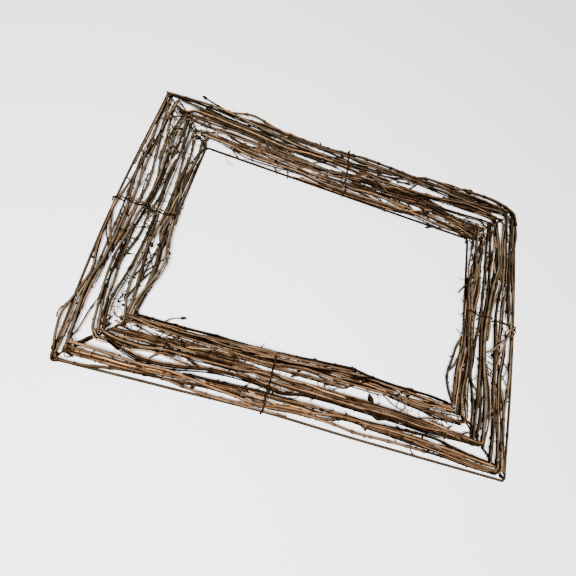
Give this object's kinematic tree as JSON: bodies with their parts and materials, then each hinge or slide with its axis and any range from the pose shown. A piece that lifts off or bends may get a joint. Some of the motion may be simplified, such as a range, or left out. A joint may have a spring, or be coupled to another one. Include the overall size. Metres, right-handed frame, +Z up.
{
  "type": "rectangular twig wreath",
  "caption": "Rectangular wreath of bare vine twigs laid in rows round a flat wire frame, with mitred corners, wire bindings and an open middle, lying flat.",
  "frame": {"origin": "on the surface it lies on, under the middle of its outline", "axes": "+X along its long side, +Y along its short side toward the top side in the picture, +Z up, out of the face that shows"},
  "size_m": [0.4722, 0.3378, 0.0158],
  "materials": {
    "frame_wire": "brown coated wire, satin",
    "binding_wire": "brown wrapped wire, satin",
    "twig_bark": "dry vine bark, dark brown with smooth tan stretches, matt"
  },
  "bodies": {
    "root": {"outer_wire_bottom": "frame_wire", "outer_wire_top": "frame_wire", "outer_wire_left": "frame_wire", "outer_wire_right": "frame_wire", "inner_wire_bottom": "frame_wire", "inner_wire_top": "frame_wire", "inner_wire_left": "frame_wire", "inner_wire_right": "frame_wire", "corner_strut_top_left": "frame_wire", "corner_strut_top_right": "frame_wire", "corner_strut_bottom_right": "frame_wire", "corner_strut_bottom_left": "frame_wire", "binding_bottom": "binding_wire", "binding_top": "binding_wire", "binding_left": "binding_wire", "binding_left_pale": "binding_wire", "binding_right": "binding_wire", "bottom_outer_twigs": "twig_bark", "bottom_middle_twigs": "twig_bark", "bottom_inner_twigs": "twig_bark", "top_outer_twigs": "twig_bark", "top_middle_twigs": "twig_bark", "top_inner_twigs": "twig_bark", "left_outer_twigs": "twig_bark", "left_middle_twigs": "twig_bark", "left_inner_twigs": "twig_bark", "right_outer_twigs": "twig_bark", "right_middle_twigs": "twig_bark", "right_inner_twigs": "twig_bark"}
  },
  "joints": []
}
